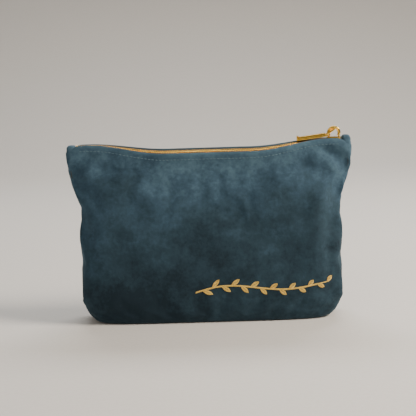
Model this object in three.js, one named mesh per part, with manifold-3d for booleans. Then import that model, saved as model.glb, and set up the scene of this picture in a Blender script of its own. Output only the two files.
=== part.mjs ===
// A lined velvet pouch with a boxed base and a metal zip along its top.
// Millimetres, +Z up. The origin is the centre of the base, on the surface that the pouch stands on.
// The front faces -Y, and the zip closes towards +X, where its slider and pull rest.
import * as THREE from "three";
import { mergeVertices } from "three/addons/utils/BufferGeometryUtils.js";
import Module from "manifold-3d";

const { smoothstep, lerp, degToRad } = THREE.MathUtils;

// ---- Driving dimensions ----
// The filled pouch, outside.
const WIDTH = 221; // across the side seams
const TOP_FLARE = 17; // by which the top corners stand out beyond that
const BOXED_CORNERS = 24; // by which the base is shorter than that
const BASE_DEPTH = 48;
const ZIP_HEIGHT = 148; // from the base to the middle of the zip's teeth
const CORNER_HEIGHT = 19; // up to which the boxed corners draw the sides in
const FLARE_HEIGHT = 61; // below the top edge, over which the sides widen to the top corners
const BELLY = 5; // how far the filling rounds out each face
const SIDE_ROUND = 13; // how far from the side seams the lower walls start to turn
const TOP_ROUND = 8.4; // the same at the top corners
const TAPER_CURVE = 1.15; // above 1 the depth shrinks faster near the top
const BELLY_CURVE = 0.8; // below 1 the belly sits lower than half way up
// Cloth.
const VELVET = 1.4;
const LINING = 0.5;
const TAPE = 0.5;
const GAP = 0.3; // between pieces that touch on the real pouch
const SEAM_GAP = 0.45; // between the velvet and the tape sewn behind it
const EDGE_DROP = 2.8; // from the teeth down to the folded edge of the velvet
const LINING_DROP = 4.6; // from the teeth down to the lining's edge
// The zip, size 3.
const TOOTH_PITCH = 2.05;
const TOOTH_LENGTH = 0.8; // along the zip
const CHAIN_WIDTH = 4.6;
const CHAIN_HEIGHT = 2.2;
const CORD = 1.1; // width of the cord that the teeth are clamped on
const TOOTH_OVERLAP = 0.6; // how far a tooth reaches past the middle, between its neighbours
const TAPE_DROP = 13; // from the teeth down to the tape's hidden edge
const END_TAB_LENGTH = 8; // the velvet tabs that cover the zip's ends
const END_TAB_CLEARANCE = 0.85; // above the walls' edges, which rise a little as they tilt
const END_TAB_RISES = { left: 1.4, right: 3.8 }; // above the middle of the teeth
const TAB_ROUND = 4.5; // of the upper outer corner
const TAB_FOOT = { length: 3.4, width: 4.4, height: 7 };
const STOP_LENGTH = 2;
// The slider and its pull.
const SLIDER_LENGTH = 11.5;
const PLATE = 0.9;
const SLIDER_WALL = 0.9;
const CHANNEL_CLEARANCE = 0.35;
const MOUTH_CLEARANCE = 0.43; // between the slider and the tape that turns down beside it
const SLOT_HEIGHT = 0.9; // the side slots that the tapes leave by
const POST_LENGTH = 1.8;
const POST_WIDTH = 2.0;
const HOOP_RADIUS = 5.2; // outside of the round bail
const HOOP_STRAP = 1.3;
const HOOP_WIDTH = 2.4;
const HOOP_CUT = 2.35; // how much of the bail's circle is missing where it meets the slider
const PULL_THICKNESS = 1.3;
const PULL_WIDTH = 6.4;
const PLATE_LENGTH = 24; // the flat plate that the fingers hold
const NECK_CLEARANCE = 0.43; // between the pull's neck and the slider's edge
const WINDOW_CLEARANCE = 1.35; // between the bail and the end of the window that it passes through
const WINDOW_SIDE_CLEARANCE = 0.5;
const BAR_HALF = 0.65; // from the middle of the pull's bar to its underside, as a share of its thickness
const PULL_CLEARANCE = 0.75; // between the plate's far end and the teeth
// Thread.
const STITCH = 0.55; // thickness of the topstitching
const STITCH_DROP = 2.2; // from the folded edge down to the topstitching
const MOTIF_RELIEF = 0.8;
const MOTIF_STROKE = 1.5;
const MOTIF_START = [-14, 27]; // x and z of the stem's foot
const MOTIF_LENGTH = 111;
const MOTIF_RISE = 10;
const LEAF_LENGTH = 9;
const LEAF_WIDTH = 3.6;
const LEAVES = 14;
const LEAF_ANGLE = 38; // degrees from the stem
const LEAF_BELLY = 0.45; // where a leaf is widest, as a share of its length
// How the filled pouch settles: between its ends the zip bows forward, sags and rolls to the front.
const BOW_FROM = 0.45; // the walls follow the zip from this share of its height
const ROLL_OVER = 34; // height below the zip over which the walls take up its roll
const BOW = 7;
const SAG = 6.5;
const ROLL = degToRad(20);
const SETTLED_OVER = 64; // the stretch over which it starts, inside each flat end
const FLAT_END = 11; // length of zip that stays straight at each end
// How finely the cloth is divided.
const COLUMN_WIDTH = 16;
const CORNER_COLUMNS = 4; // of each half wall, that turn round to the side seam

// ---- Places that follow from them ----
const EDGE_Z = ZIP_HEIGHT - EDGE_DROP;
const LINING_EDGE_Z = ZIP_HEIGHT - LINING_DROP;
const FLARE_START = EDGE_Z - FLARE_HEIGHT;
const TAPE_INSET = VELVET + SEAM_GAP;
const LINING_INSET = TAPE_INSET + TAPE + GAP;
const BASE_STACK = VELVET + GAP; // height of the base lining's underside
const TOP_WIDTH = WIDTH + TOP_FLARE;
const ZIP_END = TOP_WIDTH / 2 - END_TAB_LENGTH; // where the end tabs start
const SLIDER_X = ZIP_END - 2 * GAP - SLIDER_LENGTH / 2; // the slider's middle when the zip is closed
const CHANNEL_HALF = CHAIN_WIDTH / 2 + CHANNEL_CLEARANCE;
const THROAT_HALF = CHANNEL_HALF + POST_WIDTH / 3;
const INNER_HALF_HEIGHT = CHAIN_HEIGHT / 2 + CHANNEL_CLEARANCE;
const SLIDER_HALF_HEIGHT = INNER_HALF_HEIGHT + PLATE;
const POST_X = SLIDER_LENGTH / 2 - POST_LENGTH / 2 - GAP;
const CHAIN_END = SLIDER_X + POST_X - POST_LENGTH / 2 - GAP; // the last tooth at the closing end
const STOP_X = -ZIP_END + GAP + STOP_LENGTH / 2;
const HALF_COLUMNS = Math.round(TOP_WIDTH / COLUMN_WIDTH); // of a wall's mesh, from its middle to a seam
const CHAIN_START = STOP_X + STOP_LENGTH / 2 + GAP;
const SLIDER_HALF_WIDTH = THROAT_HALF + SLIDER_WALL;
const MOUTH_DEPTH = 2 * (SLIDER_HALF_WIDTH + MOUTH_CLEARANCE + TAPE + TAPE_INSET); // at the folded edges
const SETTLED_FROM = ZIP_END - FLAT_END;
const SLIDER_TOP = ZIP_HEIGHT + SLIDER_HALF_HEIGHT;
const HOOP_FOOT = SLIDER_TOP + GAP;
const HOOP_Z = HOOP_FOOT + HOOP_RADIUS - HOOP_CUT;
const BAR_Z = HOOP_Z + HOOP_RADIUS - HOOP_STRAP - PULL_THICKNESS / 2 - GAP; // the bar that hangs in the bail
const NECK_ROOM = BAR_Z - SLIDER_TOP - NECK_CLEARANCE - BAR_HALF * PULL_THICKNESS;
const NECK_SLOPE = Math.atan2(NECK_ROOM, SLIDER_LENGTH / 2);

const X_AXIS = new THREE.Vector3(1, 0, 0);
const Y_AXIS = new THREE.Vector3(0, 1, 0);

const wasm = await Module();
wasm.setup();

// ---- Materials ----
const material = (color, roughness, metalness) =>
  new THREE.MeshStandardMaterial({ color, roughness, metalness });
const velvet = material(0x2b4450, 0.95, 0);
const liningCloth = material(0x20272b, 0.85, 0);
const tapeCloth = material(0x22343d, 0.9, 0);
const brass = material(0xd9a441, 0.28, 1);
const goldThread = material(0xd8b25a, 0.55, 0.2);
const velvetThread = material(0x24404d, 0.8, 0);

// ---- Joining and cutting ----
function solidOf(geometry) {
  const bare = new THREE.BufferGeometry();
  bare.setAttribute("position", geometry.getAttribute("position"));
  bare.setIndex(geometry.index);
  const merged = mergeVertices(bare);
  return new wasm.Manifold(
    new wasm.Mesh({
      numProp: 3,
      vertProperties: merged.attributes.position.array,
      triVerts: new Uint32Array(merged.index.array),
    }),
  );
}

function geometryOf(solid) {
  const mesh = solid.getMesh();
  const geometry = new THREE.BufferGeometry();
  geometry.setAttribute("position", new THREE.BufferAttribute(mesh.vertProperties, 3));
  geometry.setIndex(new THREE.BufferAttribute(mesh.triVerts, 1));
  return geometry;
}

// ---- The pouch's shape before it settles ----
// Half the width across the side seams, at height z.
function halfWidth(z) {
  const corner = Math.sin((Math.PI / 2) * Math.min(z / CORNER_HEIGHT, 1));
  const flare = smoothstep(z, FLARE_START, EDGE_Z);
  return (WIDTH - BOXED_CORNERS * (1 - corner) + TOP_FLARE * flare) / 2;
}

// Half the depth at the middle of the pouch, at height z.
function halfDepth(z) {
  const t = Math.min(z / EDGE_Z, 1);
  return lerp(BASE_DEPTH, MOUTH_DEPTH, t ** TAPER_CURVE) / 2 + BELLY * Math.sin(Math.PI * t ** BELLY_CURVE);
}

// How square the plan of the pouch is at height z, as the exponent of a superellipse.
function squareness(z) {
  const round = lerp(SIDE_ROUND, TOP_ROUND, smoothstep(z, FLARE_START, EDGE_Z));
  return -Math.LN2 / Math.log(1 - round / halfWidth(z));
}

// The plan, as shares of the half width and depth. s runs from -1 at the left seam to 1 at the right one.
function planAt(s, n) {
  const faceShare = 1 - CORNER_COLUMNS / HALF_COLUMNS;
  const diagonal = 2 ** (-1 / n);
  const other = (share) => (1 - share ** n) ** (1 / n);
  const along = Math.abs(s);
  if (along <= faceShare) {
    const x = (diagonal * along) / faceShare;
    return [Math.sign(s) * x, other(x)];
  }
  const y = (diagonal * (1 - along)) / (1 - faceShare);
  return [Math.sign(s) * other(y), y];
}

// A point of the front (side -1) or back (side 1) wall, inset from its outer face.
function wallPoint(s, z, inset, side) {
  const [x, y] = planAt(s, squareness(z));
  const deep = GAP / 2 + (halfDepth(z) - inset - GAP / 2) * y;
  return new THREE.Vector3((halfWidth(z) - inset) * x, side * deep, z);
}

// The same wall's outer face over a given x, raised by an amount.
function facePoint(x, z, raised, side) {
  const n = squareness(z);
  const y = (1 - Math.abs(x / halfWidth(z)) ** n) ** (1 / n);
  return new THREE.Vector3(x, side * (GAP / 2 + (halfDepth(z) - GAP / 2) * y + raised), z);
}

// Where a point of the straight pouch goes when the filled pouch settles.
function settle(point) {
  const along = 1 - smoothstep(Math.abs(point.x), SETTLED_FROM - SETTLED_OVER, SETTLED_FROM);
  const wall = smoothstep(point.z, ZIP_HEIGHT * BOW_FROM, EDGE_Z);
  const rim = smoothstep(point.z, ZIP_HEIGHT - ROLL_OVER, EDGE_Z);
  const turned = new THREE.Vector3(0, point.y, point.z - ZIP_HEIGHT);
  turned.applyAxisAngle(X_AXIS, ROLL * along * rim);
  point.y = turned.y - BOW * along * wall;
  point.z = turned.z + ZIP_HEIGHT - SAG * along * wall;
  return point;
}

// Moves every vertex of a geometry to where place puts it.
function reshape(geometry, place) {
  const position = geometry.getAttribute("position");
  const point = new THREE.Vector3();
  for (let i = 0; i < position.count; i++) {
    const moved = place(point.fromBufferAttribute(position, i));
    position.setXYZ(i, moved.x, moved.y, moved.z);
  }
  return geometry;
}

const settled = (geometry) => reshape(geometry, settle);

// ---- Cloth ----
// One wall of cloth, from seam to seam and from the base to its top edge.
function wallCloth(side, inset, thickness, bottom, top, rows) {
  const slab = new THREE.BoxGeometry(2, 1, 1, 2 * HALF_COLUMNS, rows, 1);
  return reshape(slab, ({ x: s, y: up, z: through }) => {
    const z = lerp(bottom, top, (1 + Math.sin(Math.PI * up)) / 2);
    return settle(wallPoint(s, z, inset + thickness * (0.5 + side * through), side));
  });
}

// A flat piece of the base, that fits inside the walls' feet and ends just short of their seams.
function baseCloth(inset, bottom, thickness) {
  const columns = HALF_COLUMNS - 1;
  const reach = columns / HALF_COLUMNS;
  const slab = new THREE.BoxGeometry(2 * reach, 2, thickness, 2 * columns, 2, 1);
  return reshape(slab, ({ x: s, y: across, z: through }) => {
    const foot = wallPoint(s, 0, inset, 1);
    return new THREE.Vector3(foot.x, foot.y * across, bottom + thickness / 2 + through);
  });
}

// ---- The zip ----
// One tape, from the side of its teeth, over the edge of the walls and down between velvet and lining.
function zipTape(side) {
  const bead = CHAIN_WIDTH / 2 + GAP;
  const shoulder = MOUTH_DEPTH / 2 - TAPE_INSET - TAPE;
  const legRows = 5;
  const slab = new THREE.BoxGeometry(2 * (ZIP_END - GAP), 1, TAPE, 48, legRows + 1, 1);
  return reshape(slab, ({ x, y: across, z: through }) => {
    const row = (across + 0.5) * (legRows + 1);
    if (row < 1.001) {
      const y = lerp(bead, shoulder, row);
      return settle(new THREE.Vector3(x, side * y, ZIP_HEIGHT + side * through));
    }
    const z = lerp(EDGE_Z, ZIP_HEIGHT - TAPE_DROP, (row - 1) / legRows);
    return settle(facePoint(x, z, side * through - TAPE_INSET - TAPE / 2, side));
  });
}

// One row of teeth on the cord that carries them, the back row half a pitch along from the front one.
function zipTeeth(side) {
  const columns = [CHAIN_START];
  const first = CHAIN_START + GAP + (side > 0 ? TOOTH_PITCH / 2 : 0);
  for (let x = first; x + TOOTH_LENGTH < CHAIN_END - GAP; x += TOOTH_PITCH)
    columns.push(x, x + TOOTH_LENGTH);
  columns.push(CHAIN_END);
  // Six points at each column: the cord's outer edge, its inner edge and the tooth's tip, low and high.
  const points = [];
  for (const x of columns)
    for (const across of [CHAIN_WIDTH / 2, CHAIN_WIDTH / 2 - CORD, -TOOTH_OVERLAP])
      for (const up of [-CHAIN_HEIGHT / 2, CHAIN_HEIGHT / 2])
        points.push(settle(new THREE.Vector3(x, side * across, ZIP_HEIGHT + up)));
  const faces = [];
  const quad = (a, b, c, d) => faces.push(a, b, c, a, c, d);
  const last = 6 * (columns.length - 1);
  quad(0, 1, 3, 2);
  quad(last + 2, last + 3, last + 1, last);
  for (let i = 0; i < columns.length - 1; i++) {
    const [a, b] = [6 * i, 6 * i + 6];
    const isTooth = i % 2 === 1;
    const edge = isTooth ? 4 : 2;
    quad(a, b, b + 1, a + 1);
    quad(a + edge + 1, b + edge + 1, b + edge, a + edge);
    for (let strip = 0; strip < edge; strip += 2) {
      quad(a + strip + 1, b + strip + 1, b + strip + 3, a + strip + 3);
      quad(a + strip + 2, b + strip + 2, b + strip, a + strip);
    }
    if (isTooth) {
      quad(a + 2, a + 3, a + 5, a + 4);
      quad(b + 4, b + 5, b + 3, b + 2);
    }
  }
  if (side > 0) faces.reverse();
  return new THREE.BufferGeometry().setFromPoints(points).setIndex(faces);
}

// The small metal stop that ends one row of teeth, beside the slider's post.
function topStop(side) {
  const inside = POST_WIDTH / 2 + GAP;
  const outside = CHAIN_WIDTH / 2;
  const stop = new THREE.BoxGeometry(POST_LENGTH - GAP, outside - inside, CHAIN_HEIGHT * 0.8);
  return stop.translate(SLIDER_X + POST_X, (side * (inside + outside)) / 2, ZIP_HEIGHT);
}

// The stop across both tapes at the opening end.
function bottomStop() {
  const profile = new THREE.Shape();
  const half = CHAIN_WIDTH / 2 - CHAIN_HEIGHT / 2;
  const radius = CHAIN_HEIGHT / 2;
  profile.absarc(half, 0, radius, -Math.PI / 2, Math.PI / 2);
  profile.absarc(-half, 0, radius, Math.PI / 2, (Math.PI * 3) / 2);
  const stop = new THREE.ExtrudeGeometry(profile, {
    depth: STOP_LENGTH,
    bevelEnabled: false,
    curveSegments: 8,
  });
  stop.rotateX(Math.PI / 2).rotateZ(Math.PI / 2);
  return stop.translate(STOP_X - STOP_LENGTH / 2, 0, ZIP_HEIGHT);
}

// A folded velvet tab over one end of the zip: a proud rounded head, and a foot caught between the walls.
function endTab(side, rise) {
  const low = -EDGE_DROP + END_TAB_CLEARANCE;
  const length = END_TAB_LENGTH - GAP;
  const round = Math.min(TAB_ROUND, rise - low - 0.5);
  const width = MOUTH_DEPTH - 2 * VELVET;
  const outline = new THREE.Shape();
  outline.moveTo(0, low);
  outline.lineTo(length, low);
  outline.lineTo(length, rise - round);
  outline.quadraticCurveTo(length, rise, length - round, rise);
  outline.lineTo(1, rise);
  outline.quadraticCurveTo(0, rise, 0, rise - 1);
  const head = new THREE.ExtrudeGeometry(outline, {
    depth: width,
    bevelEnabled: false,
    curveSegments: 6,
  });
  head.rotateX(Math.PI / 2).translate(0, width / 2, 0);
  const foot = new THREE.BoxGeometry(TAB_FOOT.length, TAB_FOOT.width, TAB_FOOT.height);
  foot.translate(TAB_FOOT.length / 2, 0, low + GAP - TAB_FOOT.height / 2);
  const tab = geometryOf(solidOf(head).add(solidOf(foot)));
  if (side < 0) tab.rotateZ(Math.PI);
  return tab.translate(side * ZIP_END, 0, ZIP_HEIGHT);
}

// ---- The slider and its pull ----
function sliderBody() {
  const back = SLIDER_LENGTH / 2;
  const rear = CHANNEL_HALF + SLIDER_WALL;
  const front = SLIDER_HALF_WIDTH;
  const plan = new THREE.Shape();
  plan.moveTo(-back, -rear + 1);
  plan.quadraticCurveTo(-back, -rear, -back + 1, -rear);
  plan.lineTo(back - 3, -front);
  plan.quadraticCurveTo(back, -front, back, -front + 2.4);
  plan.lineTo(back, front - 2.4);
  plan.quadraticCurveTo(back, front, back - 3, front);
  plan.lineTo(-back + 1, rear);
  plan.quadraticCurveTo(-back, rear, -back, rear - 1);
  const block = new THREE.ExtrudeGeometry(plan, {
    depth: 2 * SLIDER_HALF_HEIGHT,
    bevelEnabled: false,
    curveSegments: 6,
  }).translate(0, 0, -SLIDER_HALF_HEIGHT);
  const hollow = new THREE.Shape();
  hollow.moveTo(-back - 1, -CHANNEL_HALF);
  hollow.lineTo(0, -CHANNEL_HALF);
  hollow.lineTo(back + 1, -THROAT_HALF);
  hollow.lineTo(back + 1, THROAT_HALF);
  hollow.lineTo(0, CHANNEL_HALF);
  hollow.lineTo(-back - 1, CHANNEL_HALF);
  const channel = new THREE.ExtrudeGeometry(hollow, {
    depth: 2 * INNER_HALF_HEIGHT,
    bevelEnabled: false,
  }).translate(0, 0, -INNER_HALF_HEIGHT);
  const slots = new THREE.BoxGeometry(SLIDER_LENGTH + 2, 4 * front, SLOT_HEIGHT);
  const post = new THREE.BoxGeometry(POST_LENGTH, POST_WIDTH, 2 * SLIDER_HALF_HEIGHT - PLATE);
  const body = solidOf(block)
    .subtract(solidOf(channel))
    .subtract(solidOf(slots))
    .add(solidOf(post.translate(POST_X, 0, 0)));
  return geometryOf(body).translate(SLIDER_X, 0, ZIP_HEIGHT);
}

// The round bail that stands on the slider, cut flat where it meets the slider's upper plate.
function sliderBail() {
  const foot = HOOP_FOOT - HOOP_Z;
  const inner = HOOP_RADIUS - HOOP_STRAP;
  const outerEnd = Math.asin(foot / HOOP_RADIUS);
  const innerEnd = Math.asin(foot / inner);
  const hoop = new THREE.Shape();
  hoop.absarc(0, 0, HOOP_RADIUS, outerEnd, Math.PI - outerEnd, false);
  hoop.absarc(0, 0, inner, Math.PI - innerEnd, innerEnd, true);
  const bail = new THREE.ExtrudeGeometry(hoop, {
    depth: HOOP_WIDTH,
    bevelEnabled: false,
    curveSegments: 24,
  });
  return bail.rotateX(Math.PI / 2).translate(SLIDER_X, HOOP_WIDTH / 2, HOOP_Z);
}

// A flat strip with round ends that runs from the origin towards -X, with its width along Y.
function strip(length) {
  const half = PULL_THICKNESS / 2;
  const section = new THREE.Shape();
  section.absarc(0, 0, half, -Math.PI / 2, Math.PI / 2, false);
  section.absarc(-length, 0, half, Math.PI / 2, (Math.PI * 3) / 2, false);
  const wide = { depth: PULL_WIDTH, bevelEnabled: false, curveSegments: 8 };
  return new THREE.ExtrudeGeometry(section, wide).rotateX(Math.PI / 2).translate(0, PULL_WIDTH / 2, 0);
}

// The pull: a flat plate that lies along the zip, bent up into a neck whose window the bail passes through.
function pullTab() {
  const half = PULL_THICKNESS / 2;
  const hang = BAR_Z - HOOP_Z;
  const bailReach =
    hang * Math.sin(NECK_SLOPE) + Math.sqrt(HOOP_RADIUS ** 2 - (hang * Math.cos(NECK_SLOPE)) ** 2);
  const windowEnd = bailReach + WINDOW_CLEARANCE;
  const neckLength = windowEnd + half;
  const windowWidth = HOOP_WIDTH + 2 * WINDOW_SIDE_CLEARANCE;
  const opening = new THREE.BoxGeometry(windowEnd - half, windowWidth, 2 * PULL_THICKNESS);
  opening.translate(-(windowEnd + half) / 2, 0, 0);
  const neck = geometryOf(solidOf(strip(neckLength)).subtract(solidOf(opening)));
  neck.rotateY(-NECK_SLOPE).translate(SLIDER_X, 0, BAR_Z);
  const bend = new THREE.Vector3(-neckLength, 0, 0).applyAxisAngle(Y_AXIS, -NECK_SLOPE);
  bend.add(new THREE.Vector3(SLIDER_X, 0, BAR_Z));
  const chainTop = new THREE.Vector3(bend.x - PLATE_LENGTH, 0, ZIP_HEIGHT + CHAIN_HEIGHT / 2);
  const tipHeight = settle(chainTop).z + PULL_CLEARANCE + half;
  const plate = strip(PLATE_LENGTH).rotateY(-Math.asin((bend.z - tipHeight) / PLATE_LENGTH));
  plate.translate(bend.x, 0, bend.z);
  return geometryOf(solidOf(plate).add(solidOf(neck)));
}

// ---- Thread ----
// The line of stitches below the folded top edge of one wall.
function topstitch(side) {
  const half = ZIP_END - 4;
  const path = new THREE.CatmullRomCurve3(
    Array.from({ length: 41 }, (_, i) => {
      const x = lerp(-half, half, i / 40);
      return settle(facePoint(x, EDGE_Z - STITCH_DROP, GAP / 2 + STITCH / 2, side));
    }),
  );
  const section = new THREE.Shape().absarc(0, 0, STITCH / 2, 0, Math.PI * 2);
  return new THREE.ExtrudeGeometry(section, {
    extrudePath: path,
    steps: 60,
    curveSegments: 4,
    bevelEnabled: false,
  });
}

// The height of the motif's stem above its foot, a share t of the way along.
const stemRise = (t) => MOTIF_RISE * (0.5 * t + 0.42 * Math.sin(Math.PI * 2.1 * t) * (1 - 0.5 * t));

// An embroidered sprig: a waving stem with leaves to either side, flat on the front wall.
function embroideredSprig() {
  const relief = { depth: MOTIF_RELIEF, bevelEnabled: false, curveSegments: 5 };
  const stem = new THREE.BoxGeometry(1, MOTIF_STROKE, MOTIF_RELIEF, 30, 1, 1);
  let sprig = solidOf(
    reshape(stem, (point) => {
      const t = point.x + 0.5;
      return point.set(t * MOTIF_LENGTH, point.y + stemRise(t), point.z + MOTIF_RELIEF / 2);
    }),
  );
  for (let i = 0; i < LEAVES; i++) {
    const t = (i + 0.7) / LEAVES;
    const way = i % 2 ? 1 : -1;
    const size = LEAF_LENGTH * (1.05 - 0.35 * t);
    const leaf = new THREE.Shape();
    leaf.moveTo(0, 0);
    leaf.quadraticCurveTo(size * LEAF_BELLY, LEAF_WIDTH, size, 0);
    leaf.quadraticCurveTo(size * LEAF_BELLY, -LEAF_WIDTH, 0, 0);
    const flat = new THREE.ExtrudeGeometry(leaf, relief);
    flat.rotateZ(way * degToRad(LEAF_ANGLE)).translate(t * MOTIF_LENGTH, stemRise(t), 0);
    sprig = sprig.add(solidOf(flat));
  }
  return reshape(geometryOf(sprig), ({ x, y, z: raised }) =>
    facePoint(MOTIF_START[0] + x, MOTIF_START[1] + y, GAP + raised, -1),
  );
}

// ---- The assembly ----
const pouch = new THREE.Group();

function add(name, geometry, finish) {
  const mesh = new THREE.Mesh(geometry, finish);
  mesh.name = name;
  pouch.add(mesh);
}

for (const [wall, side] of [
  ["front", -1],
  ["back", 1],
]) {
  add(`${wall}_panel`, wallCloth(side, 0, VELVET, 0, EDGE_Z, 20), velvet);
  add(
    `${wall}_lining`,
    wallCloth(side, LINING_INSET, LINING, BASE_STACK, LINING_EDGE_Z, 18),
    liningCloth,
  );
  add(`${wall}_zip_tape`, zipTape(side), tapeCloth);
  add(`${wall}_zip_teeth`, zipTeeth(side), brass);
  add(`${wall}_top_stop`, topStop(side), brass);
  add(`${wall}_topstitch`, topstitch(side), velvetThread);
}
add("base_panel", baseCloth(VELVET + GAP, 0, VELVET), velvet);
add("base_lining", baseCloth(LINING_INSET + LINING + GAP, BASE_STACK, LINING), liningCloth);
add("left_end_tab", endTab(-1, END_TAB_RISES.left), velvet);
add("right_end_tab", endTab(1, END_TAB_RISES.right), velvet);
add("bottom_stop", bottomStop(), brass);
add("slider_body", sliderBody(), brass);
add("slider_bail", sliderBail(), brass);
add("pull_tab", pullTab(), brass);
add("embroidered_sprig", embroideredSprig(), goldThread);

export default pouch;
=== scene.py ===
# %% [markdown]
# # A velvet zip pouch
# A small standing pouch is a bag inside a bag: two velvet walls and a boxed base outside, a satin
# lining inside, and a metal zip sewn between the two along the mouth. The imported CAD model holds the
# sizes and the joints. This notebook models what the eye sees, piece by piece, around that frame.

# %% Load the frame
import math

import bmesh
import bpy
import numpy as np
from mathutils import Matrix, Vector, noise
from mathutils.bvhtree import BVHTree


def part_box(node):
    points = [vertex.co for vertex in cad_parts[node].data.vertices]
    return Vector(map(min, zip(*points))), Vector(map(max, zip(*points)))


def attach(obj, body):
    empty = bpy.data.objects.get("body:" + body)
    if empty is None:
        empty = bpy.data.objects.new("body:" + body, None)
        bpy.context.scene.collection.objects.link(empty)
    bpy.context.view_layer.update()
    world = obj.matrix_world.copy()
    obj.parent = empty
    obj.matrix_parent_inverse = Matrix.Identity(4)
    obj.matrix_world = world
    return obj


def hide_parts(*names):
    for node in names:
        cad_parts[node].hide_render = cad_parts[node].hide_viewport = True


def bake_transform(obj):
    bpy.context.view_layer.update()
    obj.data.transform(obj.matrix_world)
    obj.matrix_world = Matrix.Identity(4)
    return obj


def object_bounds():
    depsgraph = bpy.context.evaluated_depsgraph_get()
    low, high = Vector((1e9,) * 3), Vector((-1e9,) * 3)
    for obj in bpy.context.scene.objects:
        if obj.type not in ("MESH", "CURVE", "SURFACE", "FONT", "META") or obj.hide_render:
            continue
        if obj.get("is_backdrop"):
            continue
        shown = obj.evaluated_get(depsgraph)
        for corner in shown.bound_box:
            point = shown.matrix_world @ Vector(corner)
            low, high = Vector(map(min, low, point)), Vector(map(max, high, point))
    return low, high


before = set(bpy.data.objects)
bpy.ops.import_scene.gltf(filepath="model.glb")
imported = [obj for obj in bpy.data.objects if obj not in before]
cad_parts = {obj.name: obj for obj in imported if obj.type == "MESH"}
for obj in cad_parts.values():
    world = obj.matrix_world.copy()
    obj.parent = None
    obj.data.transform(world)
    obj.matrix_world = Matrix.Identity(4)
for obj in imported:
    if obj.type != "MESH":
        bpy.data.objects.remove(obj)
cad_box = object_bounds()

MM = 0.001
print("CAD box, in mm:", [[round(v / MM, 1) for v in corner] for corner in cad_box])

# %% [markdown]
# ## Sizes
# Everything is placed from the CAD nodes' own boxes, so a change in the CAD model carries through.
# The few sizes below that are not in a box are the same driving dimensions that the CAD model uses.

# %% Sizes from the frame
panel_low, panel_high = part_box("front_panel")
teeth_low, teeth_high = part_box("front_zip_teeth")
slider_low, slider_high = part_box("slider_body")
bail_low, bail_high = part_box("slider_bail")
pull_low, pull_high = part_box("pull_tab")

EDGE_Z = panel_high[2]
TOP_HALF = panel_high[0]
ZIP_Z = (slider_low[2] + slider_high[2]) / 2
ZIP_END = TOP_HALF - 8 * MM
CHAIN_ENDS = (teeth_low[0], teeth_high[0])

TOP_FLARE = 17 * MM
WIDTH = 2 * TOP_HALF - TOP_FLARE
BOXED_CORNERS = 24 * MM
CORNER_HEIGHT = 19 * MM
FLARE_HEIGHT = 61 * MM
BASE_DEPTH = 48 * MM
MOUTH_DEPTH = 14 * MM
BELLY = 5 * MM
SIDE_ROUND = 13 * MM
TOP_ROUND = 8.4 * MM
VELVET = 1.3 * MM
LINING = 0.45 * MM
TAPE = 0.5 * MM
print("the zip is", round(ZIP_Z / MM, 2), "mm up, and the mouth", round(2 * TOP_HALF / MM, 1), "mm long")

# %% How the filled pouch settles
BOW = 7 * MM
SAG = 6.5 * MM
ROLL = math.radians(20)
FLAT_END = 11 * MM
SETTLED_OVER = 64 * MM    # how far from its straight ends the zip is fully settled
BOW_FROM = 0.45           # the walls bow forward from this share of the zip's height
ROLL_OVER = 34 * MM       # the roll fades out this far below the zip


def smooth(value, start, end):
    """0 before start, 1 after end, and an even curve from one to the other."""
    t = min(max((value - start) / (end - start), 0.0), 1.0)
    return t * t * (3 - 2 * t)


def settle(point):
    """The zip bows forward, sags and rolls to the front between its straight ends."""
    start = ZIP_END - FLAT_END
    along = 1 - smooth(abs(point.x), start - SETTLED_OVER, start)
    wall = smooth(point.z, ZIP_Z * BOW_FROM, EDGE_Z)
    rim = smooth(point.z, ZIP_Z - ROLL_OVER, EDGE_Z)
    turned = Matrix.Rotation(ROLL * along * rim, 3, "X") @ Vector((0, point.y, point.z - ZIP_Z))
    return Vector((point.x, turned.y - BOW * along * wall, turned.z + ZIP_Z - SAG * along * wall))


print("the middle of the zip settles to", [round(v / MM, 1) for v in settle(Vector((0, 0, ZIP_Z)))])

# %% [markdown]
# ## The shape of the velvet walls
# A filled pouch is nearly a box at its base and nearly a line at its zip, and its plan in between is
# a rounded rectangle. A superellipse gives all of those with one exponent. The filling presses the
# walls out, and the cloth answers with folds that run in from the corners where seams hold it back.

# %% The wall's outer face
WAIST = 2.2 * MM          # how far the sides are drawn in below the top corners
WAIST_Z = 99 * MM
WAIST_REACH = 17 * MM
TAPER_CURVE = 1.15        # above 1, the walls stay deep near the base
BELLY_CURVE = 0.8         # below 1, the belly is fullest below the middle
FACE_SHARE = 11 / 15      # the share of the columns that lie on a wall's face, the rest on its sides
SEAM_DIP = 3.0 * MM       # how far the side seam sinks between the two walls
SEAM_SHARE = 0.12         # how near a seam that starts, as a share of half a wall
SEAM_STARTS = (3 * MM, 14 * MM)
SEAM_FADES = (80 * MM, 120 * MM)
CORNER_REACH = 9 * MM
CORNER_DROP = 2.6 * MM    # how far the top edge falls away at the side seams
RIM_RISE = 4.3 * MM       # the velvet's folded rim rounds over the tape to just beside the teeth
RIM_INNER = 4.7 * MM
RIM_LENGTH = 5 * MM
RIM_FLATTER = 0.8         # the share of its rise that the rim loses at the side seams
FOOT_ROUND = 2.6 * MM     # the soft edge between wall and base
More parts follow.
